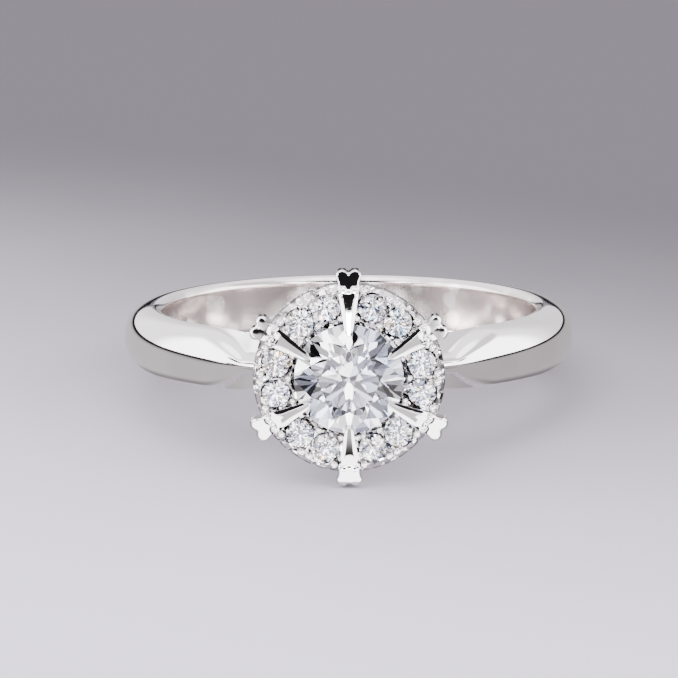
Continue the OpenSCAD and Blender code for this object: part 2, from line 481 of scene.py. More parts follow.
@dataclass(frozen=True)
class Head:
    """Sizes that the pieces of the head share, with heights from the middle of the hole."""

    halo_top: float = 12.3
    halo_bottom: float = 11.55
    centre_r: float = 2.35
    centre_girdle: float = 12.5
    accent_r: float = 0.59
    accent_girdle: float = 12.28
    accent_ring_r: float = 3.2
    accent_spread: float = 11.5
    girdle_share: float = 0.03
    pavilion_angle: float = 40.8
    gap: float = 0.03


@dataclass(frozen=True)
class WhiteMetal:
    """Polished white metal, with the faint waves and hairlines of a hand polish.

    The attribute "inside" marks the wall against the finger, which is painted darker and warmer, as painted
    shade, with painted glints; "edge" marks a thin dark line painted along an edge, a painted dark
    reflection.
    """

    name: str
    colour: Colour = (0.86, 0.85, 0.85, 1.0)
    shaded: Colour = (0.80, 0.785, 0.78, 1.0)
    roughness: float = 0.035
    hairlines: float = 0.05
    # The wall against the finger: painted shade, darker and warmer than the outside, with painted glints.
    wall: Colour = (0.68, 0.62, 0.595, 1.0)
    painted_wall_glints: Colour = (1.0, 0.96, 0.95, 1.0)
    wall_roughness: float = 0.12
    clouds_to_metre: float = 420.0
    hairs_to_metre: float = 14000.0
    waves_to_metre: float = 750.0
    spots_to_metre: float = 800.0
    wave_height: float = 2.5e-6
    hairline_height: float = 1.2e-7
    facet_size: float = 0.00022
    facet_tilt: float = 0.0
    painted_dark_fleck: Colour = (0.3, 0.29, 0.3, 1.0)
    # Painted dark reflection: the colour of the line that the "edge" attribute marks.
    edge: Colour = (0.05, 0.047, 0.048, 1.0)

    def material(self) -> Material:
        """Builds the finish.

        Returns:
            A metal whose colour, roughness and bumps vary over its Object coordinates.
        """
        graph = Finish(self.name)
        place = graph.surface_place()
        cloud = graph.noise(place, self.clouds_to_metre)
        fine = graph.noise(graph.surface_place((0.35, 1.0, 1.6)), self.hairs_to_metre, 3.0)
        wave = graph.noise(place, self.waves_to_metre, 1.0)
        hair = fine.eased(0.52, 0.75)
        inside = graph.attribute("inside")
        # Painted glints: bright spots in the colour of the wall's painted shade.
        glint_spots = 1.0 - graph.cells(place, self.spots_to_metre, "Distance").eased(0.2, 0.38)
        outside = graph.colour_mix(cloud.eased(0.35, 0.7), self.colour, self.shaded)
        wall = graph.colour_mix(glint_spots, self.wall, self.painted_wall_glints)
        bumps = wave * (self.wave_height / self.hairline_height) + fine
        if self.facet_tilt:
            facets_to_metre = 1.0 / self.facet_size
            middles = graph.parts(graph.cells(place, facets_to_metre, "Position"))
            leans = graph.parts(graph.cells(place, facets_to_metre, "Color"))
            for here, middle, lean in zip(graph.parts(place), middles, leans):
                height = (here - middle) * (lean - 0.5)
                bumps = bumps + height * (self.facet_tilt / self.hairline_height)
            # Painted dark reflections: some bright-cut facets are painted dark.
            outside = graph.colour_mix(leans[0].eased(0.36, 0.3), outside, self.painted_dark_fleck)
        # Painted dark reflection along the marked edge.
        outside = graph.colour_mix(graph.attribute("edge").eased(0.7, 0.85), outside, self.edge)
        sockets = {
            "Base Color": graph.colour_mix(inside, outside, wall),
            "Metallic": 1.0,
            "Roughness": self.roughness + hair * self.hairlines + inside * self.wall_roughness,
            "Normal": graph.bump(1.0, self.hairline_height, bumps),
        }
        return graph.done("ShaderNodeBsdfPrincipled", sockets)


@dataclass(frozen=True)
class ClearStone:
    """A clear brilliant whose facets are tinted one by one: some darker, as painted shade, and a few in
    colour, as painted fire.
    """

    name: str
    bend: float = 2.417
    painted_shade_and_fire: Stops = (
        (0.0, (0.28, 0.3, 0.36)),
        (0.14, (0.5, 0.52, 0.58)),
        (0.26, (0.82, 0.82, 0.86)),
        (0.34, (1.0, 1.0, 1.0)),
        (0.9, (1.0, 1.0, 1.0)),
        (0.91, (0.55, 0.85, 1.0)),
        (0.94, (0.8, 0.85, 1.0)),
        (0.96, (1.0, 1.0, 1.0)),
        (0.975, (1.0, 0.8, 0.58)),
    )

    def material(self) -> Material:
        """Builds the finish.

        Returns:
            Clear stone whose tint, painted shade and painted fire, follows the attribute that each facet
            carries.
        """
        graph = Finish(self.name)
        tint = graph.add("ShaderNodeValToRGB", {"stops": self.painted_shade_and_fire}, {0: graph.attribute("flash")})
        return graph.done("ShaderNodeBsdfGlass", {"Color": tint, "Roughness": 0.0, "IOR": self.bend})


@dataclass(frozen=True)
class FloorFinish:
    """A plain pale matt floor, a little darker round the band, as painted contact shade, and towards the
    back and the right, as a painted fall-off of the light.
    """

    hole: Vector
    # From near to far: a painted fall-off of the light, from the lit front to the dark back.
    near: Colour = (0.46, 0.44, 0.497, 1.0)
    far: Colour = (0.075, 0.071, 0.081, 1.0)
    # Painted contact shade round the band: its colour, share and reach.
    shade: Colour = (0.008, 0.007, 0.007, 1.0)
    shade_share: float = 0.2
    shade_start: float = 0.007
    shade_end: float = 0.013
    lean: float = 0.5
    fall_start: float = -0.034
    fall_end: float = 0.042

    def material(self) -> Material:
        """Builds the finish.

        Returns:
            A matt grey with faint clouds and grain.
        """
        graph = Finish("pale_floor")
        place = graph.surface_place()
        across, deep, _ = graph.parts(place)
        cloud = graph.noise(place, 60.0)
        grain = graph.noise(place, 2500.0)
        # Painted fall-off of the light, darker towards the back and the right.
        painted_falloff = (deep + self.lean * across + 0.006 * cloud).eased(self.fall_start, self.fall_end)
        floor = graph.colour_mix(painted_falloff, self.near, self.far)
        # Painted contact shade near the band.
        away = graph.across_from(self.hole, across, deep).eased(self.shade_start, self.shade_end)
        sockets = {
            "Base Color": graph.colour_mix(self.shade_share - self.shade_share * away, floor, self.shade),
            "Roughness": 0.8 + 0.2 * grain,
            "Specular IOR Level": 0.0,
            "Normal": graph.bump(0.25, 2e-5, grain),
        }
        return graph.done("ShaderNodeBsdfPrincipled", sockets)


@dataclass(frozen=True)
class Shank:
    """The band, which pinches into creased shoulders beside the head."""

    lie: Lie
    metal: Material
    hole_r: float = 8.5
    thickness: float = 1.7
    back_width: float = 2.74
    shoulder_width: float = 2.4
    dome_width: float = 1.0
    crease_height: float = 0.8
    dome_fullness: float = 2.25
    side_height: float = 0.4
    edge_height: float = 0.36
    edge_width: float = 0.3
    pinch_start: float = 43.0
    pinch_end: float = 28.0
    stations: int = 360
    section_points: int = 120

    def build(self) -> Object:
        """Sweeps the changing section round the finger hole.

        Returns:
            The shank, closed, with an attribute that marks the wall against the finger.
        """
        recipe = Recipe("shank")
        graph, given = recipe.graph, recipe.given
        points = given("Section points", self.section_points + 1)
        stations = given("Stations", self.stations + 1)
        grid = graph.add("GeometryNodeMeshGrid", {}, {2: points, 3: stations})
        across, round_hole, _ = graph.parts(graph.add("GeometryNodeInputPosition"))
        angle = (round_hole + 0.5) * FULL_TURN
        half_turn = 180.0
        away = half_turn - abs(angle * (half_turn / pi) - half_turn)
        start = given("Pinch start", self.pinch_start)
        end = given("Pinch end", self.pinch_end)
        near = ((start - away) / (start - end)).clamped()
        pinch = near * near
        back = given("Back width", self.back_width)
        half_width = (back + (given("Shoulder width", self.shoulder_width) - back) * pinch) / 2.0
        half_dome = (back + (given("Dome width", self.dome_width) - back) * pinch) / 2.0
        side = given("Side height", self.side_height)
        crease = side + (given("Crease height", self.crease_height) - side) * pinch

        # From the crest the section runs over the dome, the flat side, the softened
        # edge and half the wall, the same way up and down
        share = across * 2.0
        run = abs(share)
        quarter = pi / 2.0
        dome = (run / 0.5).clamped()
        dome_turn = (1.0 - (1.0 - dome).at_least(0.0) ** 1.7) * quarter
        power = 2.0 / given("Dome fullness", self.dome_fullness)
        flat = ((run - 0.5) / 0.2).clamped().eased()
        edge_turn = ((run - 0.7) / 0.2).clamped() * quarter
        wall = ((run - 0.9) / 0.1).clamped()
        edge_height = given("Edge height", self.edge_height)
        edge_width = given("Edge width", self.edge_width)
        rise = (
            crease
            + (given("Thickness", self.thickness) - crease) * dome_turn.cosine().at_least(0.0) ** power
            + (edge_height - crease) * flat
            - edge_height * edge_turn.sine() ** 1.3
        )
        spread = (
            half_dome * dome_turn.sine() ** power
            + (half_width - half_dome) * flat
            - edge_width * (1.0 - edge_turn.cosine().at_least(0.0) ** 1.3)
            - (half_width - edge_width) * wall
        )
        reach = given("Hole radius", self.hole_r) + rise
        place = graph.vector(reach * angle.sine(), -1.0 * reach * angle.cosine(), spread * share.sign())
        inside = graph.add(
            "GeometryNodeStoreNamedAttribute",
            {"data_type": "FLOAT", "domain": "POINT"},
            {"Geometry": grid, "Name": "inside", "Value": ((run - 0.72) / 0.16).clamped()},
        )
        bent = graph.add("GeometryNodeSetPosition", {}, {0: inside, 2: place})
        closed = graph.add("GeometryNodeMergeByDistance", {}, {0: bent, "Distance": 1e-5})
        return recipe.finished(closed, self.lie, 0.0, self.metal)


@dataclass(frozen=True)
class RimPoint:
    """A point of a claw's outline: its edges, its place on the spine and its bevel."""

    outer: Point
    inner: Point
    spine: float
    drop: float
    roundness: float


@dataclass(frozen=True)
class Claws:
    """Six tapering claws: a long three-sided arm, a ridge, and a heart at the end."""

    lie: Lie
    head: Head
    metal: Material
    count: int = 6
    tip_r: float = 1.97
    tip_w: float = 0.28
    tip_top: float = 13.1673
    tip_round: float = 0.1
    ridge_r: float = 3.88
    ridge_w: float = 0.94
    ridge_top: float = 12.68
    ridge_step: float = 0.05
    ridge_soft: float = 0.05
    ridge_shift: float = 0.04
    ridge_bead: float = 0.045
    bead_reach: float = 0.09
    ridge_wave: float = 0.08
    dip: float = 0.05
    arm_swell: float = 0.035
    arm_twist: float = 0.1
    waist: Point = (4.08, 0.445)
    lobe_middle: Point = (4.435, 0.275)
    lobe_r: float = 0.28
    lobe_start: float = 125.0
    lobe_dome: float = 0.008
    notch_r: float = 4.6
    end_r: float = 4.72
    end_top: float = 12.35
    heart_bevel: float = 0.1
    valley: float = 0.012
    foot: float = 11.75
    root_top: tuple[float, float, float] = (4.2, 0.0, 11.92)
    root_foot: tuple[float, float, float] = (1.25, 0.0, 10.2)
    root_bow: float = 0.1
    root_widths: Point = (0.3, 0.36)
    root_depths: Point = (0.24, 0.27)
    # Where round the heart's edge the metal paints its dark line, a painted dark reflection.
    painted_dark_edge_marks: tuple[float, ...] = (0.0, 0.0, 0.6, 1.0, 1.0, 1.0, 0.9, 0.5)
    face_share: tuple[Point, ...] = ((1.9, 0.5), (2.4, 0.44), (3.1, 0.47), (3.5, 0.58), (3.88, 0.74))
    drops: tuple[Point, ...] = (
        (2.0, 0.042),
        (2.4, 0.069),
        (3.1, 0.102),
        (3.5, 0.098),
        (3.88, 0.07),
        (4.1, 0.08),
    )

    def half_width(self, r: float) -> float:
        """Half the width of the arm.

        Args:
            r: Distance from the middle of the head.

        Returns:
            It widens from the tip to the ridge and narrows to the waist.
        """
        if r > self.ridge_r:
            return mix(self.ridge_w / 2.0, self.waist[1], share_between(r, self.ridge_r, self.waist[0]))
        return mix(self.tip_w, self.ridge_w, (r - self.tip_r) / (self.ridge_r - self.tip_r)) / 2.0

    def face(self, r: float, y: float) -> float:
        """Height of a claw's face.

        Args:
            r: Distance from the middle of the head.
            y: Distance from the claw's own middle.

        Returns:
            The height, with the bent ridge, where the heart steps up from the arm.
        """
        wave = self.ridge_wave * (1.0 - cos(4.0 * pi * abs(y) / self.ridge_w)) / 2.0
        wave *= eased(share_between(r, self.ridge_r - 0.35, self.ridge_r - 0.1))
        wave *= 1.0 - eased(share_between(r, self.ridge_r + 0.08, self.ridge_r + 0.24))
        t = r - self.ridge_r + self.ridge_shift - wave
        arm = (self.ridge_top - self.tip_top) / (self.ridge_r - self.tip_r)
        heart = (self.end_top - self.ridge_top) / (self.end_r - self.ridge_r)
        bend = (arm + heart) / 2.0 * t + (heart - arm) / 2.0 * hypot(t, self.ridge_soft)
        lip = self.ridge_bead * exp(-((t / self.bead_reach) ** 2))
        lip -= self.ridge_step * (1.0 - tanh(t / self.ridge_soft)) / 2.0
        run = share_between(r, self.tip_r, self.ridge_r)
        swell = self.arm_swell * sin(pi * run)
        inward = 1.0 - share_between(t, -0.1, 0.05)
        twist = self.arm_twist * y * (run - 0.5) * inward
        dip = self.dip * eased(share_between(r, self.ridge_r - 0.42, self.ridge_r - 0.14)) * inward
        from_lobe = hypot(r - self.lobe_middle[0], abs(y) - self.lobe_middle[1]) / (self.lobe_r + 0.04)
        dome = self.lobe_dome * max(0.0, 1.0 - from_lobe**2) ** 2
        return self.ridge_top + bend + lip + swell + twist + dome - dip

    def under(self, r: float) -> float:
        """Height of a claw's underside.

        Args:
            r: Distance from the middle of the head.

        Returns:
            The height, clear of the centre stone's crown.
        """
        head = self.head
        girdle_top = head.centre_girdle + head.girdle_share * head.centre_r
        clear = girdle_top + head.gap + (head.centre_r + head.gap - r) * 0.86
        return mix(clear, self.foot, share_between(r, head.centre_r + head.gap, head.centre_r + 0.07))

    def half_outline(self) -> list[RimPoint]:
        """Points from the tip to the notch on one side.

        Returns:
            The first and last are on the claw's middle line.
        """
        points = []
        tip_middle = self.tip_r + 0.05
        for step in range(7):
            back, across = polar(self.tip_round, radians(15.0 * step))
            outer = (tip_middle - back, across)
            inner = (tip_middle - 0.55 * back, 0.6 * across)
            points.append(RimPoint(outer, inner, tip_middle + 0.008 * step, 0.08, 0.8))
        on_arm = [2.1 + 0.1 * k for k in range(15)]
        by_ridge = [3.55 + 0.025 * k for k in range(22)]
        for r in on_arm + by_ridge:
            w = self.half_width(r)
            past = share_between(r, self.ridge_r, self.waist[0])
            inset = mix(w * (1.0 - along(self.face_share, r)), self.heart_bevel, past)
            roundness = 0.12 + 0.88 * share_between(r, self.ridge_r - 0.1, self.ridge_r + 0.1)
            points.append(RimPoint((r, w), (r, w - inset), r, along(self.drops, r), roundness))
        return points + self._heart_points()

    def _heart_points(self) -> list[RimPoint]:
        """Points from past the waist round a lobe to the notch.

        Returns:
            They follow on from the arm's.
        """
        middle, bevel, waist = self.lobe_middle, self.heart_bevel, self.waist
        start = polar(self.lobe_r, radians(self.lobe_start), *middle)
        run = (start[0] - waist[0], start[1] - waist[1])
        normal = (run[1] / hypot(*run), -run[0] / hypot(*run))
        pairs = []
        for k in range(1, 6):
            x, y = mix(waist[0], start[0], k / 6), mix(waist[1], start[1], k / 6)
            pairs.append(((x, y), (x + normal[0] * bevel, y + normal[1] * bevel)))
        for k in range(23):
            a = radians(self.lobe_start - 7.5 * k)
            pairs.append((polar(self.lobe_r, a, *middle), polar(self.lobe_r - bevel, a, *middle)))
        outer, inner = pairs[-1]
        for k in range(1, 6):
            share, away = sin(radians(18.0 * k)), 1.0 - k / 5
            edge = (mix(outer[0], self.notch_r, share), outer[1] * away)
            within = (mix(inner[0], self.notch_r - bevel, share), max(0.0, inner[1]) * away)
            pairs.append((edge, within))
        last, top = len(pairs) - 1, self.notch_r - bevel - 0.02
        spines = [mix(waist[0] + 0.01, top, k / last) for k in range(len(pairs))]
        return [
            RimPoint(edge, (within[0], max(0.0, within[1])), spine, bevel, 1.0)
            for (edge, within), spine in zip(pairs, spines)
        ]

    def column(self, point: RimPoint, side: float) -> list[Vector]:
        """Corners from the spine below, up the wall, over the bevel and in to the spine.

        Args:
            point: The point of the outline.
            side: 1 or -1 for the side of the claw.

        Returns:
            As many corners for every point.
        """
        outer, inner, spine = point.outer, point.inner, point.spine
        outer_top = self.face(*outer) - point.drop
        corners = [
            (spine, 0.0, self.under(spine)),
            (outer[0], outer[1], self.under(outer[0])),
            (outer[0], outer[1], outer_top - 0.1),
            (outer[0], outer[1], outer_top - 0.03),
        ]
        for t in (0.04, 0.14, 0.32, 0.5, 0.68, 0.86, 0.96):
            turn = t * pi / 2.0
            over = mix(t, 1.0 - cos(turn), point.roundness)
            up = mix(t, sin(turn), point.roundness)
            x, y = mix(outer[0], inner[0], over), mix(outer[1], inner[1], over)
            corners.append((x, y, mix(outer_top, self.face(x, y), up)))
        notch = share_between(spine, self.waist[0], self.notch_r - self.heart_bevel) ** 2
        for t in (0.06, 0.14, 0.24, 0.35, 0.46, 0.57, 0.68, 0.79, 0.9, 1.0):
            x, y = mix(inner[0], spine, t), mix(inner[1], 0.0, t)
            corners.append((x, y, self.face(x, y) - notch * self.valley * t * t))
        return [Vector((x, side * y, z)) for x, y, z in corners]

    def model(self) -> Mesh:
        """Makes one claw with the root that carries it, pointing along X.

        Returns:
            The mesh in millimetres, with the mark where the metal paints a dark line round the heart's
            edge, a painted dark reflection.
        """
        work = bmesh.new()
        mark = work.verts.layers.float.new("edge")
        half = self.half_outline()
        loop = [(point, 1.0) for point in half] + [(point, -1.0) for point in half[-2:0:-1]]
        columns = [[work.verts.new(corner) for corner in self.column(point, side)] for point, side in loop]
        for (point, _), column in zip(loop, columns):
            on_heart = share_between(point.outer[0], self.ridge_r, self.waist[0])
            for corner, near in zip(column, self.painted_dark_edge_marks):
                corner[mark] = near * on_heart
        for column, after in zip(columns, columns[1:] + columns[:1]):
            for i in range(len(column) - 1):
                work.faces.new((column[i], after[i], after[i + 1], column[i + 1]))
        bmesh.ops.remove_doubles(work, verts=work.verts, dist=1e-4)
        bmesh.ops.dissolve_degenerate(work, edges=work.edges, dist=1e-5)
        self._add_root(work)
        bmesh.ops.recalc_face_normals(work, faces=work.faces)
        return mesh_of("claw_model", work)

    def _add_root(self, work: BMesh) -> None:
        """Adds the bowed bar from under the heart in to the collar.

        Args:
            work: The claw's mesh.
        """
        top, foot = Vector(self.root_top), Vector(self.root_foot)
        run = (top - foot).normalized()
        up = Vector((-run.z, 0.0, run.x))
        steps, sides, fullness = 14, 20, 0.6
        rings = []
        for k in range(steps + 1):
            share = k / steps
            middle = foot.lerp(top, share) - up * self.root_bow * sin(pi * share)
            wide, thick = mix(*self.root_widths, share), mix(*self.root_depths, share)
            ring = []
            for i in range(sides):
                corner = polar(1.0, FULL_TURN * i / sides)
                y, z = (copysign(abs(part) ** fullness, part) for part in corner)
                ring.append(work.verts.new(middle + Vector((0.0, wide * y, 0.0)) + up * thick * z))
            rings.append(ring)
        for ring, after in zip(rings, rings[1:]):
            for i in range(sides):
                j = (i + 1) % sides
                work.faces.new((ring[i], after[i], after[j], ring[j]))
        work.faces.new(rings[0])
        work.faces.new(rings[-1])

    def build(self) -> Object:
        """Sets the claws round the head.

        Returns:
            All six as one mesh.
        """
        recipe = Recipe("claws")
        index = recipe.graph.add("GeometryNodeInputIndex")
        turn = (index + 0.5) * (FULL_TURN / self.count)
        ring = recipe.round_head(self.count, turn, recipe.model("Claw", self.model()))
        return recipe.finished(ring, self.lie, 90.0, self.metal)


@dataclass(frozen=True)
class HaloPlate:
    """The disc that carries the small stones, cut with a seat for each."""

    lie: Lie
    head: Head
    metal: Material
    rim_r: float = 4.13
    bevel: float = 0.28
    cut_r: float = 0.77
    stones: int = 12
    scallops: int = 42
    slit_width: float = 0.05
    slit_depth: float = 0.07
    fit: float = 0.008
    seat_sides: int = 64
    scallop_sides: int = 24

    def plate_model(self) -> Mesh:
        """Turns the disc with its coned middle, before the seats are cut.

        Returns:
            The mesh in millimetres, its rim notched between the scallops.
        """
        top, bottom, rim = self.head.halo_top, self.head.halo_bottom, self.rim_r
        work = bmesh.new()
        profile = [
            (1.4, bottom),
            (rim - 0.19, bottom),
            (rim - 0.15, bottom + 0.015),
            (rim - 0.02, bottom + 0.14),
            (rim, bottom + 0.18),
            (rim, top - self.bevel - 0.03),
            (rim - 0.012, top - self.bevel + 0.02),
            (rim - self.bevel + 0.03, top - 0.02),
            (rim - self.bevel - 0.03, top),
            (2.3, top),
            (2.25, top - 0.015),
        ]
        turned(work, profile, self.scallop_sides * self.scallops)
        step = FULL_TURN / self.scallops
        for corner in work.verts:
            r = hypot(corner.co.x, corner.co.y)
            turns = atan2(corner.co.y, corner.co.x) / step
            away = abs(turns - round(turns)) * step * rim
            slit = exp(-((away / self.slit_width) ** 2)) * share_between(r, rim - 0.35, rim - 0.1)
            slit *= share_between(corner.co.z, bottom + 0.1, bottom + 0.3) * self.slit_depth
            corner.co.x *= 1.0 - slit / r
            corner.co.y *= 1.0 - slit / r
            corner.co.z -= slit
        return mesh_of("plate_model", work)

    def seat_model(self) -> Mesh:
        """Turns what is cut away under one small stone.

        Returns:
            The mesh in millimetres, at its distance along X.
        """
        head = self.head
        seat_r, hole_r = head.accent_r + self.fit, head.accent_r / 2.0
        lip = head.accent_girdle - head.girdle_share * head.accent_r - self.fit
        cone = lip - (seat_r - hole_r) * tan(radians(head.pavilion_angle))
        low, cut_top, high = head.halo_bottom - 1.0, head.halo_top + 0.02, head.halo_top + 1.0
        profile = [(0.0, low), (hole_r, low), (hole_r, cone), (seat_r, lip)]
        profile += [(self.cut_r, cut_top), (self.cut_r, high), (0.0, high)]
        work = bmesh.new()
        turned(work, profile, self.seat_sides)
        bmesh.ops.translate(work, vec=(head.accent_ring_r, 0.0, 0.0), verts=work.verts)
        return mesh_of("seat_model", work)

    def build(self) -> Object:
        """Cuts the seats.

        Returns:
            The finished disc.
        """
        recipe = Recipe("halo_plate")
        graph = recipe.graph
        index = graph.add("GeometryNodeInputIndex")
        spread = recipe.given("Half angle of a pair", radians(self.head.accent_spread))
        turn = (index / 2.0).whole() * SIXTH_TURN + (index % 2.0 * 2.0 - 1.0) * spread
        seats = recipe.round_head(self.stones, turn, recipe.model("Seat", self.seat_model()))
        sockets = {
            "Mesh 1": recipe.model("Disc", self.plate_model()),
            "Mesh 2": graph.add("GeometryNodeRealizeInstances", {}, {0: seats}),
            "Self Intersection": True,
        }
        settings = {"operation": "DIFFERENCE", "solver": "EXACT"}
        bored = graph.add("GeometryNodeMeshBoolean", settings, sockets)
        piece = recipe.finished(bored, self.lie, 90.0, self.metal)
        self._mark_painted_dark_edge(piece.data)
        return piece

    def _mark_painted_dark_edge(self, mesh: Mesh) -> None:
        """Marks how near each corner is to the sharp edge between the bevel and the rim, where the metal
        paints a dark line, a painted dark reflection.

        Args:
            mesh: The finished disc's.
        """
        back = self.lie.head().inverted()
        low, high = self.head.halo_bottom + 0.2, self.head.halo_top - self.bevel - 0.04
        marks = mesh.attributes.new("edge", "FLOAT", "POINT")
        for mark, corner in zip(marks.data, mesh.vertices):
            x, y, z = back @ corner.co
            near = share_between(hypot(x, y), self.rim_r - 0.26, self.rim_r - 0.02)
            mark.value = near * share_between(z, low, high)


@dataclass(frozen=True)
class Collar:
    """The ring at the foot of the head that joins the claws' roots to the shank."""

    lie: Lie
    metal: Material
    outer_r: float = 1.75
    inner_r: float = 1.0
    bottom: float = 9.5
    top: float = 10.55
    soft: float = 0.12
    sides: int = 96

    def build(self) -> Object:
        """Turns the collar with softened edges.

        Returns:
            The collar.
        """
        soft = self.soft
        profile = [(self.inner_r, self.bottom), (self.outer_r, self.bottom)]
        for r, start in ((self.outer_r - soft, 0.0), (self.inner_r + soft, 90.0)):
            for k in range(7):
                profile.append(polar(soft, radians(start + 15.0 * k), r, self.top - soft))
        work = bmesh.new()
        turned(work, profile, self.sides)
        work.transform(self.lie.head())
        piece = placed("collar", mesh_of("collar", work))
        piece.data.materials.append(self.metal)
        outward(piece.data)
        return piece


@dataclass(frozen=True)
class Beads:
    """The grains that hold the small stones, at the rim and beside the centre stone."""

    lie: Lie
    head: Head
    metal: Material
    rim_d: float = 0.36
    inner_d: float = 0.32
    inner_turn: float = 22.5
    inner_gap: float = 0.09
    rim_count: int = 24
    inner_count: int = 18

    def build(self) -> list[Object]:
        """Sets the grains.

        Returns:
            The rim's grains and the inner ones.
        """
        head = self.head
        aside = (head.accent_r + self.rim_d / 2.0 + 1.5 * head.gap) * sqrt(0.5)
        rim = Recipe("rim_beads")
        index = rim.graph.add("GeometryNodeInputIndex")
        four = index % 4.0 - 1.5
        outer = (abs(four) > 1.0) * 2.0 - 1.0
        spread = rim.given("Half angle of a pair", radians(head.accent_spread))
        swing = rim.given("Swing", atan2(aside, head.accent_ring_r + aside))
        turn = (index / 4.0).whole() * SIXTH_TURN + four.sign() * (spread + outer * swing)
        reach = hypot(head.accent_ring_r + aside, aside)
        pieces = [self._ring(rim, self.rim_count, turn, reach, self.rim_d)]
        inner = Recipe("inner_beads")
        index = inner.graph.add("GeometryNodeInputIndex")
        aside_turn = inner.given("Turn", radians(self.inner_turn))
        turn = (index / 3.0).whole() * SIXTH_TURN + (index % 3.0 - 1.0) * aside_turn
        reach = head.centre_r + self.inner_d / 2.0 + self.inner_gap
        return [*pieces, self._ring(inner, self.inner_count, turn, reach, self.inner_d)]

    def _ring(self, recipe: Recipe, count: int, turn: Wire, reach: float, size: float) -> Object:
        """Sets one ring of grains.

        Args:
            recipe: The recipe that holds the turns.
            count: How many grains.
            turn: Each grain's turn.
            reach: Their distance from the middle of the head.
            size: A grain's width.

        Returns:
            The ring as one mesh.
        """
        work = bmesh.new()
        bmesh.ops.create_uvsphere(work, u_segments=28, v_segments=18, radius=size / 2.0)
        grain = recipe.model("Grain", mesh_of(f"{recipe.name}_grain", work))
        out = recipe.given("Reach", reach)
        height = recipe.given("Height", self.head.halo_top)
        at = recipe.graph.vector(out * turn.cosine(), out * turn.sine(), height)
        return recipe.finished(recipe.round_head(count, turn, grain, at), self.lie, 90.0, self.metal)


@dataclass(frozen=True)
class Brilliant:
    """A round brilliant, cut facet by facet from a round blank of radius 1."""

    table_share: float = 0.56
    crown_angle: float = 34.5
    pavilion_angle: float = 40.8
    girdle_share: float = 0.03
    star_share: float = 0.5
    lower_half_share: float = 0.78
    sides: int = 96
    table_flash: float = 0.6

    def planes(self) -> list[tuple[Vector, Vector]]:
        """The facets' planes.

        Returns:
            Pairs of a point and the direction that is ground away.
        """
        crown = tan(radians(self.crown_angle))
        pavilion = tan(radians(self.pavilion_angle))
        half_step = 22.5
        shrink = cos(radians(half_step))
        top, bottom = self.girdle_share, -self.girdle_share
        table_top = top + (1.0 - self.table_share) * crown
        inner = self.table_share * shrink
        star_r = inner + self.star_share * (1.0 - inner)
        star_z = top + (1.0 - star_r * shrink) * crown
        lower_r = 1.0 - self.lower_half_share
        lower_z = bottom - (1.0 - lower_r * shrink) * pavilion

        def at(r: float, turn: float, z: float) -> Vector:
            """A point by its distance, turn and height."""
            return Vector((*polar(r, radians(turn)), z))

        def through(a: Vector, b: Vector, c: Vector) -> tuple[Vector, Vector]:
            """The plane through three points, facing away from the stone's middle."""
            normal = (b - a).cross(c - a).normalized()
            return a, normal if normal.dot(a) > 0.0 else -normal

        point = at(0.0, 0.0, bottom - pavilion)
        facets = [(at(0.0, 0.0, table_top), Vector((0.0, 0.0, 1.0)))]
        for k in range(8):
            turn = 2.0 * half_step * k
            before, between = turn - half_step, turn + half_step
            table = at(self.table_share, turn, table_top)
            after = at(self.table_share, turn + 2.0 * half_step, table_top)
            star, low = at(star_r, between, star_z), at(lower_r, between, lower_z)
            facets.append(through(table, star, at(star_r, before, star_z)))
            facets.append(through(table, after, star))
            facets.append(through(point, low, at(lower_r, before, lower_z)))
            for first in (turn, between):
                for corner, z in ((star, top), (low, bottom)):
                    facets.append(through(corner, at(1.0, first, z), at(1.0, first + half_step, z)))
        return facets

    def cut(self) -> BMesh:
        """Cuts the blank.

        Returns:
            The closed stone of radius 1.
        """
        work = bmesh.new()
        bmesh.ops.create_cone(work, cap_ends=True, segments=self.sides, radius1=1.0, radius2=1.0, depth=3.0)
        for point, normal in self.planes():
            parts = work.verts[:] + work.edges[:] + work.faces[:]
            split = bmesh.ops.bisect_plane(
                work, geom=parts, dist=1e-6, plane_co=point, plane_no=normal, clear_outer=True
            )
            rim = [part for part in split["geom_cut"] if isinstance(part, BMEdge)]
            if rim:
                bmesh.ops.contextual_create(work, geom=rim)
        bmesh.ops.remove_doubles(work, verts=work.verts, dist=2e-5)
        bmesh.ops.recalc_face_normals(work, faces=work.faces)
        return work

    def build(self, name: str, place: Matrix, size: float, stone: Material) -> Object:
        """Makes one stone.

        Args:
            name: The piece's name.
            place: From the stone's own frame, in millimetres, to the shared one.
            size: The stone's radius in millimetres.
            stone: Its finish.

        Returns:
            The stone, flat on every facet.
        """
        work = self.cut()
        work.transform(place @ Matrix.Scale(size, 4))
        mesh = mesh_of(name, work)
        shade(mesh, Shading.FACETED)
        mesh.materials.append(stone)
        # Each facet gets its place on the stone's ramp of painted shade and painted fire; the table's is
        # fixed.
        draw = random.Random(name)
        flashes = mesh.attributes.new("flash", "FLOAT", "FACE").data
        largest = max(face.area for face in mesh.polygons)
        for face, flash in zip(mesh.polygons, flashes):
            flash.value = self.table_flash if face.area == largest else draw.random()
        return placed(name, mesh)


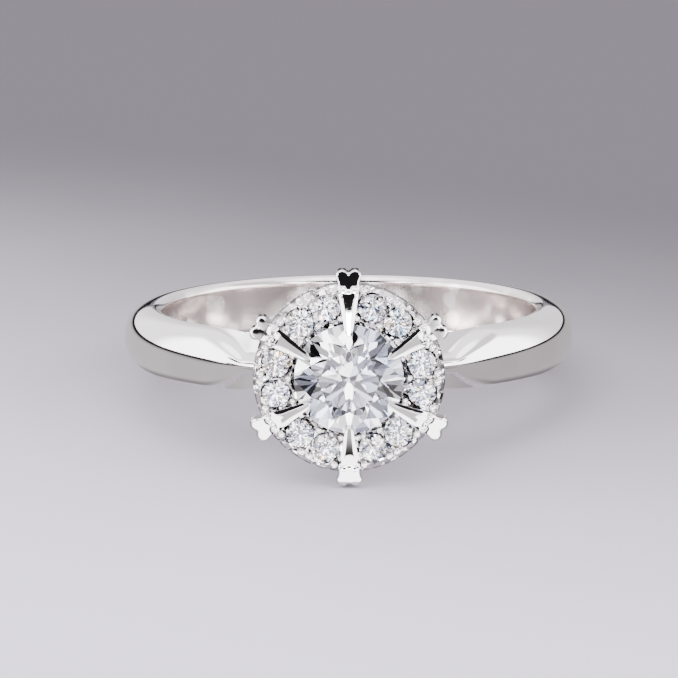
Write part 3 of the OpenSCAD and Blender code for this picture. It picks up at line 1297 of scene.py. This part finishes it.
@dataclass(frozen=True)
class Stones:
    """The centre stone and the twelve small ones round it."""

    lie: Lie
    head: Head
    stone: Material
    cut: Brilliant = Brilliant()
    small_cut: Brilliant = Brilliant(sides=48)
    small_count: int = 12

    def build(self) -> dict[str, Object]:
        """Makes all the stones.

        Returns:
            Each stone by the CAD node that it stands for.
        """
        head = self.head
        to_frame = self.lie.head()
        centre = to_frame @ Matrix.Translation((0.0, 0.0, head.centre_girdle))
        stones = {"centre_stone": self.cut.build("centre_brilliant", centre, head.centre_r, self.stone)}
        out = Matrix.Translation((head.accent_ring_r, 0.0, head.accent_girdle))
        for i in range(self.small_count):
            turn = 60.0 * (i // 2) + (head.accent_spread if i % 2 else -head.accent_spread)
            place = to_frame @ Matrix.Rotation(radians(turn), 4, "Z") @ out
            name = f"accent_brilliant_{i + 1:02d}"
            node = f"accent_stone_{i + 1:02d}"
            stones[node] = self.small_cut.build(name, place, head.accent_r, self.stone)
        return stones


@dataclass(frozen=True)
class Softbox:
    """A soft light: where it stands, its sides, power and colour."""

    name: str
    place: tuple[float, float, float]
    sides: tuple[float, float]
    power: float
    colour: tuple[float, float, float] = (1.0, 1.0, 1.0)

    def build(self, target: Vector) -> Object:
        """Sets the light up, unseen in reflections.

        Args:
            target: The point that it faces.

        Returns:
            The lamp.
        """
        light = bpy.data.lights.new(self.name, "AREA")
        light.shape = "RECTANGLE"
        light.size, light.size_y = self.sides
        light.energy = self.power
        light.color = self.colour
        lamp = placed(self.name, light)
        lamp.location = self.place
        lamp.rotation_euler = (target - lamp.location).to_track_quat("-Z", "Y").to_euler()
        lamp.visible_glossy = False
        return lamp


def lay(name: str, outline: list[Point], high: float, material: Material, seen: bool) -> None:
    """Lays a flat, level sheet of the studio.

    Args:
        name: The sheet's name.
        outline: Its corners in order.
        high: Its height.
        material: What it shows.
        seen: Whether the camera sees it, or only reflections and the stones do.
    """
    mesh = bpy.data.meshes.new(name)
    mesh.from_pydata([(x, y, high) for x, y in outline], [], [tuple(range(len(outline)))])
    mesh.materials.append(material)
    sheet = placed(name, mesh)
    sheet.visible_camera = seen
    sheet.visible_diffuse = seen
    sheet.visible_shadow = seen


@dataclass(frozen=True)
class Studio:
    """The floor, the light and the camera.

    A patch of the room has its turn from the front, its height and its radius, in degrees.
    """

    lie: Lie
    floor_finish: FloorFinish
    floor_size: float = 4.0
    lit_point: tuple[float, float, float] = (0.0, 0.0, 0.005)
    above_ring: float = 9.1
    distance: float = 0.2
    lens: float = 232.6
    aim_aside: float = -0.447
    aim_down: float = 0.274
    roll: float = 0.3
    dark: Colour = (0.018, 0.017, 0.019, 1.0)
    spark: Colour = (14.0, 13.6, 14.0, 1.0)
    star: Colour = (28.0, 27.4, 28.0, 1.0)
    glare: Colour = (7.0, 6.7, 6.9, 1.0)
    ceiling: Colour = (2.7, 2.56, 2.7, 1.0)
    overhead: Colour = (4.8, 4.55, 4.75, 1.0)
    half_light: Colour = (1.6, 1.52, 1.6, 1.0)
    face_light: Colour = (1.2, 1.14, 1.18, 1.0)
    plate_light: Colour = (0.25, 0.235, 0.235, 1.0)
    plate_patch: Patch = (0.0, 0.0, 6.0)
    window_pairs: tuple[Patch, ...] = (
        (47.0, 4.0, 5.0),
        (44.0, 52.0, 8.0),
        (16.5, 9.0, 4.0),
        (20.0, 30.0, 5.0),
        (34.0, 31.0, 5.0),
        (32.0, 3.5, 5.0),
    )
    star_windows: tuple[Patch, ...] = ((0.0, 20.0, 8.5), (0.0, 10.0, 6.0))
    flags: tuple[Patch, ...] = (
        (-54.0, 34.0, 10.0),
        (-42.0, 23.0, 6.0),
        (54.0, 35.0, 8.0),
        (43.0, 24.0, 5.5),
        (-34.0, 59.0, 9.0),
        (37.0, 61.0, 9.0),
        (-60.0, 0.5, 4.5),
    )
    card_white: Colour = (6.5, 6.2, 6.35, 1.0)
    card_grey: Colour = (0.86, 0.80, 0.84, 1.0)
    card_grey_right: Colour = (0.67, 0.62, 0.65, 1.0)
    stripe: Stops = (
        (0.0, (0.9, 0.88, 0.9)),
        (0.2, (0.5, 0.48, 0.48)),
        (0.38, (0.16, 0.155, 0.15)),
        (0.54, (0.01, 0.01, 0.01)),
        (0.56, (6.5, 6.2, 6.35)),
        (1.0, (6.5, 6.2, 6.35)),
    )
    glow: Colour = (22.0, 20.3, 20.0, 1.0)
    softboxes: tuple[Softbox, ...] = (
        Softbox("key_softbox", (-0.3, -0.25, 0.75), (0.6, 0.6), 4.5),
        Softbox("fill_softbox", (0.6, -0.35, 0.45), (0.35, 0.35), 2.0, (1.0, 0.97, 0.94)),
    )

    def build(self) -> None:
        """Lays the floor and the cards, and sets the light and the camera."""
        half = self.floor_size / 2.0
        corners = [(-half, -half), (half, -half), (half, half), (-half, half)]
        lay("floor", corners, 0.0, self.floor_finish.material(), seen=True)
        for softbox in self.softboxes:
            softbox.build(Vector(self.lit_point))
        self.build_room()
        self.build_reflector()
        self.build_round_card()
        self.build_glow_card()
        self.build_camera()

    def build_room(self) -> None:
        """Makes the pale room, with its bright and dark patches."""
        world = bpy.data.worlds.new("studio_room")
        bpy.context.scene.world = world
        world.use_nodes = True
        world.node_tree.nodes.clear()
        graph = Graph(world.node_tree)
        mixed = graph.colour_mix
        x, y, z = graph.parts(graph.add("ShaderNodeTexCoord", output="Generated"))
        side = abs(x)

        def patch(across: float, up: float, radius: float) -> Wire:
            """Marks a round patch of the room.

            Args:
                across: Its turn from the front.
                up: Its height.
                radius: Its radius.

            Returns:
                1 inside and 0 outside, with a soft rim.
            """
            turn, rise, soft = radians(across), radians(up), 1.5
            toward = (sin(turn) * cos(rise), -cos(turn) * cos(rise), sin(rise))
            near = x * toward[0] + y * toward[1] + z * toward[2]
            return near.eased(cos(radians(radius + soft)), cos(radians(radius - soft)))

        beside = side.eased(0.5, 0.75) * (0.55 - y).eased(0.0, 0.3)
        front = (-1.0 * y).eased(0.6, 0.78) * (0.5 - z).eased(0.0, 0.1)
        behind = (y + 0.3 * x).eased(0.75, 1.0) * (0.75 - z).eased(0.0, 0.15)
        right_top = x.eased(0.3, 0.45) * z.eased(0.66, 0.74)
        pale = mixed(beside, self.ceiling, self.glare)
        pale = mixed(right_top.at_least(behind), pale, self.half_light)
        pale = mixed(z.eased(0.88, 0.95), pale, self.overhead)
        pale = mixed(front, pale, self.face_light)
        pale = mixed(patch(*self.plate_patch), pale, self.plate_light)
        for across, up, radius in self.window_pairs:
            for hand in (-1.0, 1.0):
                pale = mixed(patch(hand * across, up, radius), pale, self.spark)
        for window in self.star_windows:
            pale = mixed(patch(*window), pale, self.star)
        shade = (-1.0 * y - 1.4 * side).eased(0.12, 0.2) * (z - 0.3 * x).eased(0.47, 0.5)
        for flag in self.flags:
            shade = shade.at_least(patch(*flag))
        sockets = {"Color": mixed(shade, pale, self.dark), "Strength": 1.0}
        graph.finish("ShaderNodeOutputWorld", graph.add("ShaderNodeBackground", {}, sockets))

    def build_reflector(self) -> None:
        """Lays a white card just above the floor in front, with a dark stripe for the lowest claw and a
        dark hem of painted contact shadow beside the head.
        """
        graph = Finish("reflector_card")
        mixed = graph.colour_mix
        x, y, _ = graph.parts(graph.surface_place())
        side, forward = abs(x), -1.0 * y
        stripe = graph.add("ShaderNodeValToRGB", {"stops": self.stripe}, {0: (y + 0.0166) / 0.005})
        beside = (side + 0.3 * (y + 0.0138)).eased(0.0018, 0.0024)
        # Painted contact shadow: a dark hem beside the head, which the claws' lower edges mirror.
        painted_shadow_hem = beside * (y + 0.2 * side).eased(-0.0122, -0.0118)
        corner = forward.eased(0.0192, 0.0198) * side.eased(0.0045, 0.005)
        colour = mixed(beside, stripe, self.card_white)
        colour = mixed(painted_shadow_hem, colour, self.dark)
        colour = mixed(forward.eased(0.0178, 0.0184), colour, self.card_white)
        colour = mixed(corner, colour, self.face_light)
        material = graph.done("ShaderNodeEmission", {"Color": colour})
        wide, near, far, high = 0.0115, -0.0116, -0.027, 0.0001
        corners = [(-wide, far), (wide, far), (wide, near), (-wide, near)]
        lay("reflector", corners, high, material, seen=False)

    def build_round_card(self) -> None:
        """Lays a grey card round the band, open in front, which the band mirrors in place of the floor; it
        is darker on the right and darkens outwards as painted shade, with painted contact shade under the
        band.
        """
        graph = Finish("round_card")
        x, y, _ = graph.parts(graph.surface_place())
        away = graph.across_from(self.lie.hole, x, y)
        # Painted shade: the card's grey is darker on the right.
        right = x.eased(-0.004, 0.004)
        grey = graph.colour_mix(right, self.card_grey, self.card_grey_right)
        # Painted shade: darker outwards.
        outer = (away - 0.015 * right).eased(0.028, 0.075)
        # Painted contact shade under the band, beside the head.
        from_head = abs(x).eased(0.0058, 0.0078).at_least(y.eased(-0.002, 0.0))
        painted_band_shade = from_head * (0.6 - 0.6 * away.eased(0.0097, 0.0112))
        colour = graph.colour_mix(outer.at_least(painted_band_shade), grey, self.dark)
        material = graph.done("ShaderNodeEmission", {"Color": colour})
        inner, wide, high = 0.009, 0.3, 0.00005
        turns = [radians(turn) for turn in range(24, 337, 6)]
        rim = [(-r * sin(a), self.lie.hole.y - r * cos(a)) for r in (inner, wide) for a in turns]
        lay("round_card", rim[: len(turns)] + rim[: len(turns) - 1 : -1], high, material, seen=False)

    def build_glow_card(self) -> None:
        """Lays small lights in the finger hole, which the band's inner wall mirrors."""
        graph = Finish("glow_card")
        place = graph.surface_place()
        x, y, _ = graph.parts(place)
        away = graph.across_from(self.lie.hole, x, y)
        inside = (1.0 - away.eased(0.0072, 0.008)) * y.eased(0.0025, 0.0045)
        sparks = inside * graph.noise(place, 420.0, 0.0).eased(0.58, 0.66)
        clear = graph.add("ShaderNodeBsdfTransparent")
        light = graph.add("ShaderNodeEmission", {}, {"Color": self.glow})
        material = graph.done("ShaderNodeMixShader", {0: sparks, 1: clear, 2: light})
        wide, high = 0.0083, 0.00004
        rim = [polar(wide, radians(turn), 0.0, self.lie.hole.y) for turn in range(0, 360, 10)]
        lay("glow_card", rim, high, material, seen=False)

    def build_camera(self) -> None:
        """Stands the camera where the photograph was taken from."""
        tilt = self.lie.tilt + radians(self.above_ring)
        back = Vector((0.0, -cos(tilt), sin(tilt)))
        up = Vector((0.0, sin(tilt), cos(tilt)))
        place = self.lie.hole + back * self.distance
        aside = Vector((self.aim_aside, 0.0, 0.0)) * MILLIMETRE
        target = self.lie.hole + aside - up * self.aim_down * MILLIMETRE
        camera = bpy.data.cameras.new("camera")
        camera.lens = self.lens
        camera.sensor_width = 36.0
        camera.clip_start = 0.01
        camera.clip_end = 20.0
        look = (target - place).to_track_quat("-Z", "Y").to_matrix().to_4x4()
        roll = Matrix.Rotation(radians(-self.roll), 4, "Z")
        stand = placed("camera", camera)
        stand.matrix_world = Matrix.Translation(place) @ look @ roll
        bpy.context.scene.camera = stand


def hand_over(piece: Object, slot: str, *nodes: str) -> None:
    """Rides a finished piece on the ring and hides the CAD nodes that it stands in for.

    Args:
        piece: The finished piece.
        slot: The record's material slot; not used.
        nodes: The nodes that it stands for.
    """
    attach(piece, "root")
    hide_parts(*nodes)
    LOG.info("%s: %d faces for %s", piece.name, len(piece.data.polygons), ", ".join(nodes))


def main() -> None:
    """Builds the ring, the floor, the light and the camera."""
    logging.basicConfig(level=logging.INFO, format="%(message)s")
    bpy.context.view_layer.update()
    lie = Lie.of_record(frame["record"])
    head = Head()
    metal = WhiteMetal("polished_white_metal").material()
    # The disc gets painted dark flecks and a lighter painted dark line at its rim edge.
    cut_metal = WhiteMetal("bright_cut_metal", facet_tilt=2.5, edge=(0.16, 0.15, 0.15, 1.0))
    metalwork = [
        Shank(lie, metal).build(),
        Claws(lie, head, metal).build(),
        HaloPlate(lie, head, cut_metal.material()).build(),
        Collar(lie, metal).build(),
        *Beads(lie, head, metal).build(),
    ]
    for piece in metalwork:
        hand_over(piece, "white_metal", "ring_mounting")
    stone = ClearStone("clear_brilliant_stone").material()
    for node, piece in Stones(lie, head, stone).build().items():
        hand_over(piece, "clear_stone", node)
    Studio(lie, FloorFinish(lie.hole)).build()


if __name__ == "__main__":
    main()
